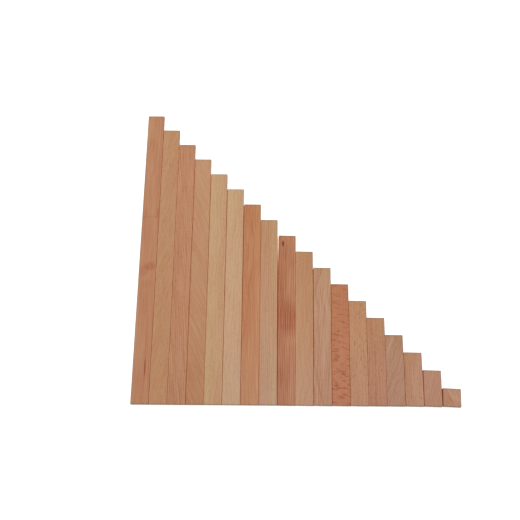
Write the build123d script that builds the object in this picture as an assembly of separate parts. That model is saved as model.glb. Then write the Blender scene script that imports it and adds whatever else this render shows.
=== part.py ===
from build123d import *

import math
import os

# Neutral strips of a subtraction board: plain wooden strips laid flat, side by side, as a staircase.
# Lengths are in millimetres. +Z is up, +X runs along the feet from the longest strip to the square,
# and +Y runs along the strips from their feet to their heads. The origin is the middle of the whole
# layout, on the surface that it lies on.

# One square of the board that the strips are counted on: a strip is a whole number of these long
UNIT_LENGTH = 25.0

# The stock that every strip is cut from, a shade narrower than the square, so that strips lie freely
STRIP_WIDTH = 24.6
STRIP_THICKNESS = 5.0
ARRIS_RADIUS = 0.4

# The gaps that a hand leaves between the strips, from the longest pair to the shortest, as shares of
# the widest: first at the feet, then at the head of the shorter strip of the pair
WIDEST_GAP = 2.0
GAP_SHARES = [
    (0.18, 0.22),
    (0.15, 0.15),
    (0.10, 0.15),
    (0.08, 0.28),
    (0.18, 0.30),
    (0.20, 0.50),
    (0.08, 0.10),
    (0.28, 1.00),
    (0.08, 0.12),
    (0.20, 0.45),
    (0.18, 0.18),
    (0.18, 0.18),
    (0.18, 0.15),
    (0.12, 0.08),
    (0.18, 0.25),
    (0.15, 0.45),
    (0.48, 0.70),
]
LONGEST_UNITS = len(GAP_SHARES) + 1


def strip_length(units):
    return units * UNIT_LENGTH


def make_strip(units):
    """A strip with eased edges, its near left foot corner at zero and its length along +Y."""
    blank = Box(
        STRIP_WIDTH,
        strip_length(units),
        STRIP_THICKNESS,
        align=(Align.MIN, Align.MIN, Align.MIN),
    )
    return fillet(blank.edges(), ARRIS_RADIUS)


def lay_out_strips():
    """Place each strip beside the last: its foot corner from the gap at the feet, its turn from both gaps."""
    foot_x = 0.0
    turn = 0.0
    placed = {LONGEST_UNITS: make_strip(LONGEST_UNITS)}
    for index, (foot_share, head_share) in enumerate(GAP_SHARES):
        units = LONGEST_UNITS - 1 - index
        foot_gap = foot_share * WIDEST_GAP
        head_gap = head_share * WIDEST_GAP
        foot_x += (STRIP_WIDTH + foot_gap) / math.cos(turn)
        turn -= math.atan2(head_gap - foot_gap, strip_length(units))
        place = Pos(foot_x, 0, 0) * Rot(0, 0, math.degrees(turn))
        placed[units] = place * make_strip(units)
    return placed


def centre_on_origin(placed):
    """Move the whole layout so that the origin is the middle of its underside."""
    box = Compound(list(placed.values())).bounding_box()
    middle = box.center()
    shift = Pos(-middle.X, -middle.Y, -box.min.Z)
    return {units: shift * strip for units, strip in placed.items()}


os.makedirs("parts", exist_ok=True)
for units, strip in centre_on_origin(lay_out_strips()).items():
    export_step(strip, f"parts/neutral_strip_{units:02d}.step")
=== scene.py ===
import math

import bpy
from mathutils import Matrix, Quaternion, Vector


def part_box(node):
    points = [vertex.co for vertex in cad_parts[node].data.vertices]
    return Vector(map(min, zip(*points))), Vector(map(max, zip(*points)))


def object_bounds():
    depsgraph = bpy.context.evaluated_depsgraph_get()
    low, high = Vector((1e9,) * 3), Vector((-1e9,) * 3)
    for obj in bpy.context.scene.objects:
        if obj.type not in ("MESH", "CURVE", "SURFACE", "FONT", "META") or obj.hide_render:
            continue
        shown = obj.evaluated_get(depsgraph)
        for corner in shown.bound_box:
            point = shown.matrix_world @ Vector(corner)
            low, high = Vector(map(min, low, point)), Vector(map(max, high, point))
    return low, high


# Eighteen plain beech strips, laid flat as a staircase. The shapes are the CAD nodes themselves.
# This script gives each strip its own piece of wood, and makes the floor, the light and the camera.

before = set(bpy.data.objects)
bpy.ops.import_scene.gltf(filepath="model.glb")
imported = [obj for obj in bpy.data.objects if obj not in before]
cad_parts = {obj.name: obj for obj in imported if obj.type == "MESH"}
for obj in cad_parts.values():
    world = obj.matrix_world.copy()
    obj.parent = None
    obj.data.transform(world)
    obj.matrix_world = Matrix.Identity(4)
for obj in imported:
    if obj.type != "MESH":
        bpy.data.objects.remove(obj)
cad_low, cad_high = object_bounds()

MM = 0.001
UNIT = 25.0

# The camera: where it stands and where it looks, in millimetres, its roll in degrees, its lens and
# sensor in millimetres, and how far it sees in metres
EYE = (-44.68, -461.79, 1137.10)
AIM = (-50.49, -11.48, 0.0)
ROLL = -0.32
LENS = 58.27
SENSOR_WIDTH = 36.0
FARTHEST_SEEN = 20.0

# Soft studio light: name, place in metres, width in metres, power in watts
LAMPS = [
    ("key", (-0.5, 0.8, 2.3), 1.2, 20.4),
    ("fill", (1.4, 0.1, 2.2), 1.5, 8.8),
]

# The light of the room, and the floor: its colour, its glow where it is seen, and in metres its half
# size and how far it lies below the strips, so that the faces don't coincide
AMBIENT_STRENGTH = 0.585
FLOOR_COLOUR = (0.8, 0.8, 0.8)
FLOOR_GLOW = 0.62
FLOOR_HALF_SIZE = 4.0
FLOOR_DROP = 0.0001

# The floor that shows between strips: its colour of painted shade in the dark and of painted warm light in
# the light, the strip beside the widest gap, how near to that strip's left side the gap is, in millimetres,
# and how many units below its head the painted light begins and is full
PAINTED_GAP_SHADE = (0.72, 0.24, 0.08)
PAINTED_GAP_LIGHT = (0.80, 0.58, 0.42)
WIDEST_GAP_BESIDE = "neutral_strip_10"
WIDEST_GAP_REACH = 4.0
LIT_BELOW_HEAD = (2.4, 0.2)

# Where the floor lies open: the share of what is above it that is free, where that begins to count and
# where it fully does, how far off things still hide it, in millimetres, and how many rays measure it
OPEN_SHARE = (0.33, 0.41)
OPEN_DISTANCE = 10.0
OPEN_SAMPLES = 128

# How far the staircase reaches past the line through its inner corners, in millimetres
CORNER_MARGIN = 1.5

# The tones that freshly cut beech has, as linear colours
TONES = {
    "rosy": (0.452, 0.200, 0.0925),
    "honey": (0.464, 0.232, 0.106),
    "pale": (0.515, 0.302, 0.160),
    "straw": (0.478, 0.258, 0.138),
    "amber": (0.470, 0.200, 0.078),
    "red": (0.432, 0.155, 0.063),
    "russet": (0.408, 0.157, 0.065),
    "dusty": (0.446, 0.222, 0.125),
    "clay": (0.454, 0.218, 0.113),
    "ashen": (0.416, 0.208, 0.121),
}
KNOT_BROWN = (0.165, 0.025, 0.0)
RESIN_RED = (0.29, 0.050, 0.008)

# What a colour is multiplied by: away from the edges; on an edge that lies against a neighbour, where it is
# painted warm bounce light; and on one that is free, where it is painted shade that greys and darkens it
UNCHANGED = (1.0, 1.0, 1.0)
SNUG_EDGE_PAINTED_BOUNCE = (1.18, 0.98, 0.94)
FREE_EDGE_PAINTED_SHADE = (0.80, 0.98, 1.20)

# How far in from an edge it changes the wood, in millimetres: where that begins, and where it is full
EASED_REACH = (1.0, 0.1)
FREE_SIDE_REACH = (2.2, 0.8)
FREE_HEAD_REACH = (3.0, 1.0)
FREE_FOOT_REACH = (2.6, 1.0)
PAINTED_FOOT_SHADING_REACH = (130.0, 10.0)
FOOT_REACH = (1.0, 0.1)
CUT_END_REACH = (0.45, 0.05)
SEAM_REACH = (1.2, 0.4)

# How far before and after its start the free part of a side sets in, in millimetres
RIGHT_ONSET = (1.0, 1.0)
LEFT_ONSET = (1.0, 12.0)

# How much of its red, green and blue a tone loses where the wood is a full shade deeper, and how much
# of them it gains where it is pinker
DEEPENING = (0.42, 1.0, 1.4)
PINKNESS = (0.1, -0.3, 0.5)

# What a strip's wood has where its own look says nothing else
PLAIN = {
    "depth": (0.0, 0.0, 0.0),   # shade: its mean, and what the foot and the right edge have more
    "pink": (0.0, 0.0, 0.0),    # pinkness: the same three
    "cut": 30.0,                # degrees between the strip's face and the growth rings' face
    "slant": 0.0,               # millimetres that the rings climb for each millimetre along
    "lean": 0.0,                # the same for the streaks, sideways
    "spacing": 2.4,             # width of one year's growth in millimetres
    "wave": 0.8,                # how far the rings wander, and the rays curl, in millimetres
    "curl": 0.5,
    "ring": 0.18,               # shades of the late wood and of the rays
    "ray": 0.35,
    "fibre": 0.045,             # shades of the fine fibres, streaks, short flecks and slow drift
    "streak": 0.045,
    "fleck": 0.14,
    "drift": 0.025,
    "curls": 0.0,               # shade of the curled marks across the grain
    "blush": 0.05,              # how much the pinkness varies
    "free_left": 0.0,           # how many units of the left edge, from the head, have no near neighbour and take painted edge shade
    "painted_foot_shading": 0.12,            # how far the wood near the foot takes the painted shade of a free edge
    "seam": 0.0,                # painted shade of the left edge, against the next longer strip; painted light where negative
    "blots": (),                # soft patches: share across, units from the foot, half width, half
                                # length, shade, and how far the patch leans where it does
    "marks": (),                # knots and resin: the same as far as the half length, then the colour
}

LOOKS = {
    18: {"tone": "rosy", "depth": (0.05, 0.02, 0.03), "free_left": 18.5, "painted_foot_shading": 0.1,
         "cut": 88.0, "spacing": 2.7, "wave": 0.7, "ring": 0.26, "ray": 0.15, "streak": 0.09,
         "fleck": 0.12, "blots": [
             (0.90, 13.5, 3.0, 60.0, 0.10),
             (0.90, 11.4, 3.5, 9.0, 0.17),
             (0.50, 11.15, 13.0, 1.8, 0.12),
             (0.16, 11.3, 4.0, 11.0, 0.12),
             (0.40, 10.1, 7.0, 22.0, 0.09),
             (0.64, 8.02, 8.0, 7.0, 0.30),
             (0.28, 7.72, 7.5, 9.0, 0.18),
             (0.55, 6.95, 8.0, 7.0, 0.12),
             (0.30, 15.9, 6.0, 12.0, 0.09),
             (0.05, 3.0, 2.5, 80.0, -0.10),
             (0.69, 3.0, 0.9, 60.0, 0.14),
             (0.14, 17.3, 5.0, 24.0, -0.15),
         ], "marks": [(0.69, 2.05, 0.95, 12.0, RESIN_RED)]},
    17: {"tone": "honey", "depth": (0.06, 0.04, 0.02), "painted_foot_shading": 0.05, "seam": -0.25, "cut": 50.0,
         "slant": 0.2, "lean": 0.3, "spacing": 5.0, "wave": 1.8, "ring": 0.09, "ray": 0.3, "fleck": 0.30},
    16: {"tone": "rosy", "depth": (0.02, 0.03, -0.03), "painted_foot_shading": 0.22, "seam": -0.25, "cut": 86.0,
         "spacing": 2.3, "lean": -0.1, "ring": 0.52, "ray": 0.1, "streak": 0.14, "fleck": 0.34,
         "blots": [(0.45, 9.2, 2.0, 22.0, 0.10)]},
    15: {"tone": "honey", "depth": (0.04, 0.13, -0.01), "pink": (0.04, 0.0, 0.0), "cut": 65.0,
         "slant": -0.4, "lean": -0.45, "spacing": 5.2, "wave": 2.4, "ring": 0.11, "ray": 0.2,
         "streak": 0.075, "fleck": 0.18, "seam": 0.34},
    14: {"tone": "pale", "depth": (0.06, 0.03, 0.05), "pink": (-0.04, 0.0, 0.05), "ray": 0.45,
         "streak": 0.03, "fleck": 0.22},
    13: {"tone": "pale", "depth": (-0.03, 0.0, 0.02), "pink": (0.01, 0.06, 0.03), "painted_foot_shading": 0.24,
         "lean": -0.35, "ray": 0.45, "streak": 0.03, "fleck": 0.22},
    12: {"tone": "amber", "depth": (0.01, -0.12, -0.09), "pink": (0.04, 0.08, 0.0), "painted_foot_shading": 0.28,
         "seam": -0.18, "cut": 38.0, "spacing": 3.6, "wave": 1.1, "ring": 0.25, "ray": 0.2, "streak": 0.10,
         "fleck": 0.18, "blots": [(0.34, 6.3, 10.0, 72.0, 0.11)]},
    11: {"tone": "straw", "depth": (0.02, -0.09, -0.05), "pink": (-0.02, 0.11, -0.04), "painted_foot_shading": 0.26,
         "cut": 86.0, "spacing": 2.7, "ring": 0.40, "ray": 0.2, "streak": 0.065, "fleck": 0.18,
         "seam": 0.20},
    10: {"tone": "russet", "depth": (-0.02, -0.04, -0.13), "pink": (0.05, 0.09, 0.0), "free_left": 1.5,
         "painted_foot_shading": 0.24, "cut": 90.0, "spacing": 2.6, "wave": 0.8, "ring": 1.08, "ray": 0.1,
         "streak": 0.17, "fleck": 0.12, "blots": [
             (0.45, 5.1, 16.0, 25.0, 0.27),
             (0.88, 4.8, 5.0, 22.0, 0.22),
             (0.22, 6.9, 5.0, 28.0, 0.17),
             (0.34, 9.0, 5.0, 18.0, 0.16),
             (0.55, 4.4, 11.0, 5.0, 0.09),
             (0.65, 3.6, 9.0, 8.0, -0.11),
             (0.15, 1.6, 6.0, 16.0, 0.16),
             # Painted shade down the left edge below the head, beside the widest gap
             (0.00, 9.3, 1.5, 26.0, 0.16),
             (0.82, 7.5, 6.0, 20.0, -0.13),
         ], "marks": [(0.245, 9.48, 1.5, 4.2, KNOT_BROWN)]},
    9: {"tone": "honey", "depth": (-0.05, -0.12, 0.02), "pink": (0.06, 0.10, 0.04), "painted_foot_shading": 0.28,
        "seam": -0.22, "cut": 40.0, "ring": 0.22, "wave": 1.2, "spacing": 3.2, "fleck": 0.18,
        "blots": [(0.78, 8.1, 6.0, 28.0, 0.05)]},
    8: {"tone": "dusty", "depth": (-0.05, 0.01, 0.0), "pink": (-0.03, 0.07, -0.03), "seam": 0.12,
        "cut": 35.0, "spacing": 4.4, "ring": 0.26, "wave": 1.4, "streak": 0.14, "lean": 0.08,
        "fleck": 0.16, "blots": [
            (0.30, 0.90, 1.3, 26.0, 0.16, -0.25),
            (0.14, 1.80, 1.2, 22.0, 0.12, -0.22),
            (0.45, 3.5, 4.0, 60.0, -0.06),
        ]},
    7: {"tone": "red", "depth": (-0.11, -0.08, -0.04), "pink": (0.03, 0.10, 0.0), "painted_foot_shading": 0.18,
        "seam": 0.18, "cut": 80.0, "ray": 0.1, "fleck": 0.16, "drift": 0.05, "curls": 0.48, "blots": [
            (0.44, 3.56, 2.8, 2.8, 0.26),
            (0.59, 2.30, 2.6, 2.6, 0.24),
            (0.46, 0.46, 5.0, 3.4, 0.30),
            (0.30, 1.86, 8.0, 1.4, 0.30),
            (0.62, 1.74, 3.5, 1.6, 0.26),
            (0.15, 2.48, 5.0, 1.4, 0.24),
            (0.62, 3.85, 3.5, 1.6, 0.22),
            (0.80, 4.41, 4.0, 1.4, 0.24),
            (0.40, 6.34, 7.0, 3.0, 0.12),
        ]},
    6: {"tone": "honey", "depth": (-0.04, -0.03, -0.01), "pink": (0.10, 0.08, 0.0), "painted_foot_shading": 0.24,
        "ray": 0.45, "fleck": 0.54, "streak": 0.07, "blots": [
            (0.30, 3.45, 1.3, 3.0, 0.30),
            (0.62, 5.25, 1.1, 4.0, 0.22),
        ]},
    5: {"tone": "clay", "depth": (0.06, 0.02, -0.05), "pink": (0.05, 0.11, 0.0), "painted_foot_shading": 0.2,
        "seam": -0.22, "streak": 0.065, "ray": 0.5, "fleck": 0.40},
    4: {"tone": "ashen", "depth": (0.0, -0.04, -0.03), "pink": (-0.01, 0.08, 0.0), "slant": 0.3,
        "lean": 0.35, "spacing": 4.6, "wave": 1.6, "ring": 0.08, "streak": 0.09, "fleck": 0.26, "blots": [
            (0.25, 3.42, 1.6, 16.0, -0.22, 0.42),
            (0.60, 3.75, 2.5, 14.0, 0.06, 0.42),
            (0.62, 2.0, 2.6, 24.0, -0.07, 0.35),
        ]},
    3: {"tone": "dusty", "depth": (-0.03, 0.0, -0.09), "pink": (0.0, 0.04, 0.03), "painted_foot_shading": 0.0,
        "cut": 70.0, "ring": 0.34, "streak": 0.09, "fleck": 0.32},
    2: {"tone": "dusty", "depth": (-0.035, 0.04, 0.0), "pink": (0.06, 0.0, 0.0), "slant": 0.2,
        "lean": 0.3, "spacing": 4.5, "wave": 1.6, "ring": 0.09, "streak": 0.08, "fleck": 0.23,
        "seam": 0.48},
    1: {"tone": "dusty", "depth": (-0.03, 0.05, -0.10), "painted_foot_shading": 0.0, "slant": -0.5, "lean": -0.5,
        "spacing": 4.0, "ring": 0.14, "streak": 0.12, "fleck": 0.40, "seam": 0.32, "blots": [
            (0.55, 0.58, 3.2, 9.0, -0.20, -0.9),
            (0.28, 0.35, 3.0, 6.0, 0.06),
        ]},
}

# The noises in the wood's figure: how large their blotches are, in millimetres across, along and
# through the strip, what each adds to the strip's seed, and how many finer layers it has
FIGURE = {
    "wander": ((25.0, 70.0, 25.0), 1, 1.0),
    "fibre": ((0.45, 30.0, 0.6), 2, 3.0),
    "pore": ((0.12, 1.1, 0.12), 3, 1.0),
    "streak": ((1.6, 55.0, 2.5), 4, 2.0),
    "fleck": ((1.4, 6.0, 2.0), 5, 2.0),
    "drift": ((14.0, 90.0, 14.0), 6, 1.0),
    "curl": ((7.0, 14.0, 7.0), 7, 1.0),
    "blush": ((6.0, 60.0, 9.0), 8, 2.0),
    "warp": ((7.0, 14.0, 7.0), 9, 1.0),
    "curls": ((10.0, 3.0, 10.0), 10, 0.0),
    "ragged": ((0.7, 1.6, 0.7), 12, 2.0),
}

# What a strip adds to the seed for each unit of its length, what a seed of 1 shifts a noise by, the
# weight of a noise's finer layers, and how far it spreads
STRIP_SEED = 11.0
NOISE_SHIFT = (17.3, 5.1, 9.7)
NOISE_ROUGHNESS = 0.6
NOISE_SPREAD = 8.0

# Rays: the room that each has round the pith, along it and out from it, in millimetres, and what a seed
# of 1 shifts them by; then how far the pith is from the strip's middle
RAY_CELL = (1.0, 4.5, 14.0)
RAY_SHIFT = (3.7, 1.9, 7.3)
PITH_REACH = 70.0

# Late wood: how suddenly it darkens, the share of the year at which it ends, its mean shade, and the
# least strength of a year with what luck adds to it
LATE_POWER = 3.0
LATE_END = (1.0, 0.92)
LATE_MEAN = 0.22
LEAST_YEAR = 0.4
LUCKY_YEAR = 1.2

# Curled marks: how far they tilt and warp, where one begins, and the stretch where they grow bolder, in
# millimetres from the strip's middle, with the share that is the same everywhere
CURLS_TILT = 0.12
CURLS_WARP = 0.7
CURLS_EDGE = (0.3, 1.7)
CURLS_STRETCH = (80.0, -40.0)
CURLS_EVEN_SHARE = 0.5

# Where a pore, a ray, a fleck, a blot, a mark and the halo round a mark begin and are full, and how
# ragged the last three are
PORE_EDGE = (0.6, 1.6)
RAY_EDGE = (0.34, 0.12)
FLECK_EDGE = (0.0, 2.4)
BLOT_EDGE = (1.35, 0.45)
MARK_EDGE = (1.15, 0.85)
HALO_EDGE = (1.7, 0.9)
HALO_STRENGTH = 0.4
RAGGED = 0.10

# How quickly the grain closes again round a knot, and how far it parts there
PARTING_FALL = 0.2
PARTING = 0.65

# Shades of the pores, of the foot's front edge, where it is painted shade, and of the cut ends
PORE_SHADE = 0.06
FRONT_EDGE_PAINTED_SHADE = 0.08
END_SHADE = 0.22

# The surface: a satin finish, a little rougher on fibres and smoother on rays
ROUGHNESS = 0.48
FIBRE_ROUGHNESS = 0.02
RAY_ROUGHNESS = -0.10
SPECULAR = 0.3

# Its relief: how high fibres, pores and rings stand, how strongly that shows, and what a height of 1 is
# in millimetres
FIBRE_HEIGHT = 0.3
PORE_HEIGHT = -0.8
RING_HEIGHT = 0.5
BUMP_STRENGTH = 0.35
BUMP_DEPTH = 0.05

# A mesh face whose normal is at least this far along X is one of a strip's right side
FACING_RIGHT = 0.9


class Graph:
    """One node tree. An input may be a number, a colour, a vector or the output of another node."""

    def __init__(self, tree):
        self.tree = tree
        tree.nodes.clear()

    def add(self, kind, inputs, output=0, **settings):
        node = self.tree.nodes.new("ShaderNode" + kind)
        for name, value in settings.items():
            setattr(node, name, value)
        for name, value in inputs.items():
            if isinstance(value, bpy.types.NodeSocket):
                self.tree.links.new(value, node.inputs[name])
            else:
                node.inputs[name].default_value = value
        return node.outputs[output]

    def math(self, operation, *values):
        return self.add("Math", dict(enumerate(values)), operation=operation)

    def vector(self, operation, *values, output=0):
        return self.add("VectorMath", dict(enumerate(values)), output, operation=operation)

    def split(self, vector):
        return list(self.add("SeparateXYZ", {0: vector}).node.outputs)

    def join(self, across, along, through):
        return self.add("CombineXYZ", {0: across, 1: along, 2: through})

    def blend(self, factor, first, second):
        inputs = {0: factor, 4: first, 5: second}
        return self.add("Mix", inputs, 1, data_type="VECTOR")

    def show(self, kind, shader):
        """End the tree with its output node."""
        out = self.tree.nodes.new("ShaderNodeOutput" + kind)
        self.tree.links.new(shader, out.inputs["Surface"])

    def fold(self, operation, *values):
        """One value from many, such as their sum or the greatest of them."""
        result = values[0]
        for value in values[1:]:
            result = self.math(operation, result, value)
        return result

    def total(self, *values):
        return self.fold("ADD", *values)

    def step(self, value, start, end):
        """0 before start and 1 after end, with a soft step between them. Start may be the larger."""
        inputs = {"Value": value, "From Min": start, "From Max": end}
        return self.add("MapRange", inputs, interpolation_type="SMOOTHSTEP")

    def noise(self, place, kind, seed):
        """Noise about 0 with a spread of about 1, of one of the kinds in FIGURE."""
        size, own_seed, detail = FIGURE[kind]
        shift = tuple((seed + own_seed) * part for part in NOISE_SHIFT)
        stretched = self.vector("MULTIPLY_ADD", place, tuple(1.0 / s for s in size), shift)
        inputs = {"Vector": stretched, "Scale": 1.0, "Detail": detail, "Roughness": NOISE_ROUGHNESS}
        return self.math("MULTIPLY_ADD", self.add("TexNoise", inputs), NOISE_SPREAD, -NOISE_SPREAD / 2)


def measure(node):
    """A strip's turn, its middle in metres and half its size in millimetres, from its own mesh."""
    sides = [face for face in node.data.polygons if face.normal.x > FACING_RIGHT]
    side = max(sides, key=lambda face: face.area)
    turn = math.atan2(side.normal.y, side.normal.x)
    low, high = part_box(node.name)
    middle = (low + high) / 2
    straight = Quaternion((0, 0, 1), -turn)
    half = [0.0, 0.0, 0.0]
    for vertex in node.data.vertices:
        corner = straight @ (vertex.co - middle) / MM
        half = [max(old, abs(new)) for old, new in zip(half, corner)]
    return turn, middle, tuple(half)


def even(g, place, half, mean, foot, right):
    """A value that changes evenly over the strip, with this much more at its foot and at its right edge."""
    slopes = (right / half[0], -foot / half[1], 0.0)
    return g.math("ADD", g.vector("DOT_PRODUCT", place, slopes, output=1), mean)


def ring_shade(g, place, look, seed):
    """Late wood: a thin darker layer at the end of each year, deeper in some years than in others.

    Also gives the place measured round the pith, along it and out from it, which the rays follow."""
    angle = math.radians(look["cut"])
    across, along, through = g.split(place)
    wander = g.math("MULTIPLY", g.noise(place, "wander", seed), look["wave"])
    out_across = g.total(across, wander, PITH_REACH * math.sin(angle))
    out_through = g.total(through, wander, PITH_REACH * math.cos(angle))
    flat = g.join(out_across, 0.0, out_through)
    radius = g.vector("LENGTH", flat, output=1)
    around = g.math("MULTIPLY", g.math("ARCTAN2", out_across, out_through), PITH_REACH)
    climbed = g.math("MULTIPLY_ADD", along, -look["slant"], radius)
    year = g.math("DIVIDE", climbed, look["spacing"])
    part = g.math("FRACT", year)
    late = g.math("MULTIPLY", g.math("POWER", part, LATE_POWER), g.step(part, *LATE_END))
    luck = g.add("TexWhiteNoise", {"W": g.math("FLOOR", year)}, noise_dimensions="1D")
    strength = g.math("MULTIPLY_ADD", luck, LUCKY_YEAR, LEAST_YEAR)
    shade = g.math("MULTIPLY", g.math("SUBTRACT", late, LATE_MEAN), strength)
    curled = g.math("MULTIPLY_ADD", g.noise(place, "curl", seed), look["curl"], along)
    return shade, g.join(around, curled, radius)


def curls_shade(g, place, seed):
    """Soft curled marks across the grain, as a face along the rays shows them, boldest near the foot."""
    across, along, through = g.split(place)
    tilted = g.math("MULTIPLY_ADD", across, CURLS_TILT, along)
    warp = g.noise(place, "warp", seed)
    curled = g.join(across, g.math("MULTIPLY_ADD", warp, CURLS_WARP, tilted), through)
    mark = g.step(g.noise(curled, "curls", seed), *CURLS_EDGE)
    nearer_foot = g.step(along, *CURLS_STRETCH)
    bolder = g.math("MULTIPLY_ADD", nearer_foot, 1.0 - CURLS_EVEN_SHARE, CURLS_EVEN_SHARE)
    return g.math("MULTIPLY", mark, bolder)


def ray_shade(g, polar, seed):
    """Ray flecks: short dark spindles on a face along the rings, and wider patches on a face across."""
    shift = tuple(seed * part for part in RAY_SHIFT)
    cell = g.vector("MULTIPLY_ADD", polar, tuple(1.0 / s for s in RAY_CELL), shift)
    distance = g.add("TexVoronoi", {"Vector": cell, "Scale": 1.0})
    luck = g.split(distance.node.outputs["Color"])[0]
    return g.math("MULTIPLY", g.step(distance, *RAY_EDGE), luck)


def from_spot(g, place, half, spot):
    """The distance from a spot's middle: as a vector in millimetres, and as a share of the spot's size."""
    across, units, wide, long = spot[:4]
    centre = ((2 * across - 1) * half[0], units * UNIT - half[1], 0.0)
    offset = g.vector("SUBTRACT", place, centre)
    upright = offset
    if len(spot) > 5:
        lean = spot[5]
        x, y, z = g.split(offset)
        upright = g.join(g.math("MULTIPLY_ADD", y, -lean, x), y, z)
    share = g.vector("MULTIPLY", upright, (1.0 / wide, 1.0 / long, 0.0))
    return offset, g.vector("LENGTH", share, output=1)


def blot_shade(g, place, half, blot, ragged):
    """A soft oval patch."""
    shade = blot[4]
    distance = g.math("MULTIPLY_ADD", ragged, RAGGED, from_spot(g, place, half, blot)[1])
    return g.math("MULTIPLY", g.step(distance, *BLOT_EDGE), shade)


def flow_round(g, place, half, marks):
    """The grain's own place: it parts in front of each knot and closes behind it."""
    for mark in marks:
        offset, share = from_spot(g, place, half, mark)
        fallen = g.math("MULTIPLY", g.math("MULTIPLY", share, share), -PARTING_FALL)
        nearness = g.math("EXPONENT", fallen)
        parting = g.vector("MULTIPLY", offset, (-PARTING, 0.0, 0.0))
        place = g.vector("MULTIPLY_ADD", parting, g.join(nearness, 0.0, 0.0), place)
    return place


def add_mark(g, place, half, mark, colour, seed):
    """A dark core with ragged edges, and reddened wood round it."""
    core = mark[4]
    ragged = g.noise(place, "ragged", seed)
    distance = g.math("MULTIPLY_ADD", ragged, RAGGED, from_spot(g, place, half, mark)[1])
    halo = g.math("MULTIPLY", g.step(distance, *HALO_EDGE), HALO_STRENGTH)
    reddened = g.blend(halo, colour, RESIN_RED)
    return g.blend(g.step(distance, *MARK_EDGE), reddened, core)


def free_side(g, depth, head, length, onset):
    """How near a point is to a side, on the stretch from the head that has no near neighbour."""
    before, after = onset
    past_neighbour = g.step(head, length + before, length - after)
    return g.math("MULTIPLY", g.step(depth, *FREE_SIDE_REACH), past_neighbour)


def edges(g, place, half, look):
    """From 0 to 1, how near a point is to any edge, a free one, the foot, a cut end, and the left seam.

    The free edges, which take painted shade, are those of both ends, of the last unit at the right and of
    free_left units at the left. The wood near the foot has some of that painted shade."""
    across, along = g.split(place)[:2]
    left = g.math("ADD", half[0], across)
    right = g.math("SUBTRACT", half[0], across)
    foot = g.math("ADD", half[1], along)
    head = g.math("SUBTRACT", half[1], along)

    free = [
        free_side(g, right, head, UNIT, RIGHT_ONSET),
        g.step(head, *FREE_HEAD_REACH),
        g.step(foot, *FREE_FOOT_REACH),
        # Painted shade that greys the wood towards the foot
        g.math("MULTIPLY", g.step(foot, *PAINTED_FOOT_SHADING_REACH), look["painted_foot_shading"]),
    ]
    if look["free_left"]:
        free.append(free_side(g, left, head, look["free_left"] * UNIT, LEFT_ONSET))

    # A point is as near to an edge as it is to the second nearest of the three pairs of faces
    depths = g.split(g.vector("SUBTRACT", half, g.vector("ABSOLUTE", place)))
    nearest = g.fold("MINIMUM", *depths)
    farthest = g.fold("MAXIMUM", *depths)
    second = g.math("SUBTRACT", g.total(*depths), g.math("ADD", nearest, farthest))

    on_edge = g.step(second, *EASED_REACH)
    on_foot = g.step(foot, *FOOT_REACH)
    on_end = g.step(depths[1], *CUT_END_REACH)
    on_seam = g.step(left, *SEAM_REACH)
    return on_edge, g.fold("MAXIMUM", *free), on_foot, on_end, on_seam


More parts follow.
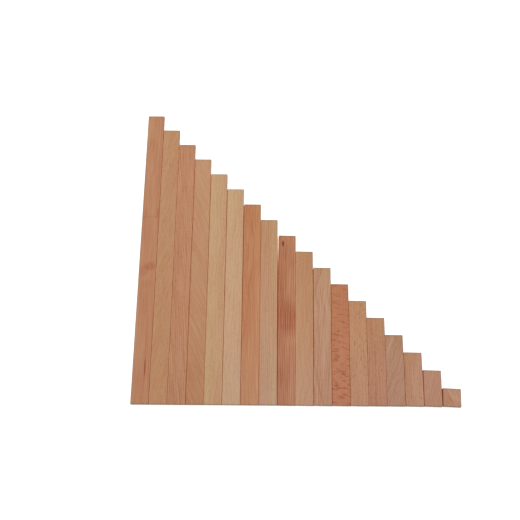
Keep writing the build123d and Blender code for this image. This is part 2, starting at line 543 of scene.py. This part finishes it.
def make_beech(node, units, look):
    """A strip's own wood, worked out through the whole solid, so that its sides and ends follow."""
    turn, middle, half = measure(node)
    seed = STRIP_SEED * units
    material = bpy.data.materials.new(f"beech_{units:02d}")
    material.use_nodes = True
    g = Graph(material.node_tree)

    inputs = {
        "Vector": g.add("TexCoord", {}, "Object"),
        "Location": middle,
        "Rotation": (0.0, 0.0, turn),
        "Scale": (MM, MM, MM),
    }
    whole = g.add("Mapping", inputs, vector_type="TEXTURE")
    on_edge, free, on_foot, on_end, on_seam = edges(g, whole, half, look)
    place = flow_round(g, whole, half, look["marks"])
    across, along, through = g.split(place)
    leaned = g.join(g.math("MULTIPLY_ADD", along, -look["lean"], across), along, through)

    ring, polar = ring_shade(g, place, look, seed)
    ray = ray_shade(g, polar, seed)
    fibre = g.noise(place, "fibre", seed)
    pore = g.step(g.noise(place, "pore", seed), *PORE_EDGE)
    streak = g.noise(leaned, "streak", seed)
    fleck = g.step(g.noise(leaned, "fleck", seed), *FLECK_EDGE)
    drift = g.noise(place, "drift", seed)

    shade = g.total(
        even(g, whole, half, *look["depth"]),
        g.math("MULTIPLY", ring, look["ring"]),
        g.math("MULTIPLY", ray, look["ray"]),
        g.math("MULTIPLY", fibre, look["fibre"]),
        g.math("MULTIPLY", pore, PORE_SHADE),
        g.math("MULTIPLY", streak, look["streak"]),
        g.math("MULTIPLY", fleck, look["fleck"]),
        g.math("MULTIPLY", drift, look["drift"]),
        # Painted shade on the foot's front edge
        g.math("MULTIPLY", on_foot, FRONT_EDGE_PAINTED_SHADE),
        g.math("MULTIPLY", on_end, END_SHADE),
        # Painted shade along the left seam, and painted light where the seam is negative
        g.math("MULTIPLY", on_seam, look["seam"]),
        *[blot_shade(g, whole, half, blot, streak) for blot in look["blots"]],
    )
    if look["curls"]:
        shade = g.math("ADD", shade, g.math("MULTIPLY", curls_shade(g, place, seed), look["curls"]))

    blush = g.noise(leaned, "blush", seed)
    pink = g.math("MULTIPLY_ADD", blush, look["blush"], even(g, whole, half, *look["pink"]))

    kept = g.vector("MULTIPLY_ADD", shade, tuple(-part for part in DEEPENING), UNCHANGED)
    gained = g.vector("MULTIPLY_ADD", pink, PINKNESS, UNCHANGED)
    colour = g.vector("MULTIPLY", g.vector("MULTIPLY", kept, gained), TONES[look["tone"]])
    for mark in look["marks"]:
        colour = add_mark(g, whole, half, mark, colour, seed)
    # Painted light and shade at the edges: warm bounce light on arrises against a neighbour, and greyer,
    # darker shade on the free edges and near the foot
    painted_edge_light_and_shade = g.blend(free, g.blend(on_edge, UNCHANGED, SNUG_EDGE_PAINTED_BOUNCE), FREE_EDGE_PAINTED_SHADE)
    colour = g.vector("MULTIPLY", colour, painted_edge_light_and_shade)

    roughness = g.total(
        ROUGHNESS,
        g.math("MULTIPLY", fibre, FIBRE_ROUGHNESS),
        g.math("MULTIPLY", ray, RAY_ROUGHNESS),
    )
    height = g.total(
        g.math("MULTIPLY", fibre, FIBRE_HEIGHT),
        g.math("MULTIPLY", pore, PORE_HEIGHT),
        g.math("MULTIPLY", ring, RING_HEIGHT),
    )
    relief = {"Height": height, "Strength": BUMP_STRENGTH, "Distance": BUMP_DEPTH * MM}
    normal = g.add("Bump", relief)
    shader = g.add("BsdfPrincipled", {
        "Base Color": colour,
        "Roughness": roughness,
        "Normal": normal,
        "Specular IOR Level": SPECULAR,
    })
    g.show("Material", shader)
    return material


def make_camera():
    """A camera that looks down on the strips from nearly straight above."""
    data = bpy.data.cameras.new("camera")
    data.sensor_width = SENSOR_WIDTH
    data.lens = LENS
    data.clip_end = FARTHEST_SEEN
    camera = bpy.data.objects.new("camera", data)
    bpy.context.scene.collection.objects.link(camera)
    eye, aim = Vector(EYE) * MM, Vector(AIM) * MM
    camera.location = eye
    camera.rotation_mode = "QUATERNION"
    level = (aim - eye).to_track_quat("-Z", "Y")
    camera.rotation_quaternion = level @ Quaternion((0, 0, 1), math.radians(ROLL))
    bpy.context.scene.camera = camera


def seen_or_mirrored(g):
    """1 for what the camera sees, also in a mirror or through glass, and 0 for what only gives light."""
    path = g.add("LightPath", {}).node.outputs
    return g.total(path["Is Camera Ray"], path["Is Glossy Ray"], path["Is Transmission Ray"])


def make_world():
    """A plain white room: it lights softly, and the camera sees it white."""
    world = bpy.data.worlds.new("world")
    bpy.context.scene.world = world
    world.use_nodes = True
    g = Graph(world.node_tree)
    light = g.add("Background", {"Color": (1, 1, 1, 1), "Strength": AMBIENT_STRENGTH})
    seen = g.add("Background", {"Color": (1, 1, 1, 1), "Strength": 1.0})
    both = g.add("MixShader", {0: seen_or_mirrored(g), 1: light, 2: seen})
    g.show("World", both)


def make_lamp(name, place, size, power):
    """A soft round lamp that faces the strips."""
    data = bpy.data.lights.new(name, "AREA")
    data.shape = "DISK"
    data.size = size
    data.energy = power
    lamp = bpy.data.objects.new(name, data)
    lamp.location = place
    lamp.rotation_euler = (-Vector(place)).to_track_quat("-Z", "Y").to_euler()
    bpy.context.scene.collection.objects.link(lamp)


def floor_between(g, x, y):
    """The floor between strips: painted brown shade, but white where it lies open, and painted warm light
    where light gets into the widest gap.
    """
    low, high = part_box(WIDEST_GAP_BESIDE)
    beside = g.math("COMPARE", x, low.x, WIDEST_GAP_REACH * MM)
    dark_end, lit_end = (high.y - units * UNIT * MM for units in LIT_BELOW_HEAD)
    opened = g.math("MULTIPLY", g.step(y, dark_end, lit_end), beside)
    inputs = {"Distance": OPEN_DISTANCE * MM}
    openness = g.add("AmbientOcclusion", inputs, "AO", samples=OPEN_SAMPLES)
    past = g.step(openness, *OPEN_SHARE)
    colour = g.blend(past, g.blend(opened, PAINTED_GAP_SHADE, PAINTED_GAP_LIGHT), FLOOR_COLOUR)
    lit = g.math("MAXIMUM", opened, past)
    strength = g.math("MULTIPLY", lit, FLOOR_GLOW / FLOOR_COLOUR[0])
    dimmed = g.add("Emission", {"Color": colour, "Strength": strength})
    return g.add("AddShader", {0: g.add("BsdfDiffuse", {"Color": colour}), 1: dimmed})


def in_staircase(g, x, y):
    """1 inside the staircase, which ends just past the line through its inner corners."""
    below_line = g.math("LESS_THAN", g.math("ADD", x, y), CORNER_MARGIN * MM)
    right_of_side = g.math("GREATER_THAN", x, cad_low.x)
    behind_feet = g.math("GREATER_THAN", y, cad_low.y)
    return g.fold("MULTIPLY", below_line, right_of_side, behind_feet)


def make_floor():
    """A plain pale floor, which the camera sees as white, with painted shade and light between the strips.
    """
    half = FLOOR_HALF_SIZE
    mesh = bpy.data.meshes.new("floor")
    corners = [(-half, -half, 0), (half, -half, 0), (half, half, 0), (-half, half, 0)]
    mesh.from_pydata(corners, [], [(0, 1, 2, 3)])
    floor = bpy.data.objects.new("floor", mesh)
    floor.location.z = -FLOOR_DROP
    bpy.context.scene.collection.objects.link(floor)
    material = bpy.data.materials.new("floor")
    material.use_nodes = True
    g = Graph(material.node_tree)
    seen = seen_or_mirrored(g)
    glow = g.add("Emission", {"Strength": g.math("MULTIPLY", seen, FLOOR_GLOW)})
    white = g.add("AddShader", {0: g.add("BsdfDiffuse", {"Color": (*FLOOR_COLOUR, 1.0)}), 1: glow})
    x, y = g.split(g.add("TexCoord", {}, "Object"))[:2]
    factor = g.math("MULTIPLY", in_staircase(g, x, y), seen)
    g.show("Material", g.add("MixShader", {0: factor, 1: white, 2: floor_between(g, x, y)}))
    mesh.materials.append(material)


for units, look in LOOKS.items():
    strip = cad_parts[f"neutral_strip_{units:02d}"]
    beech = make_beech(strip, units, {**PLAIN, **look})
    for slot in strip.material_slots:
        slot.material = beech

make_camera()
make_world()
for lamp in LAMPS:
    make_lamp(*lamp)
make_floor()
bpy.context.scene.view_settings.view_transform = "Standard"
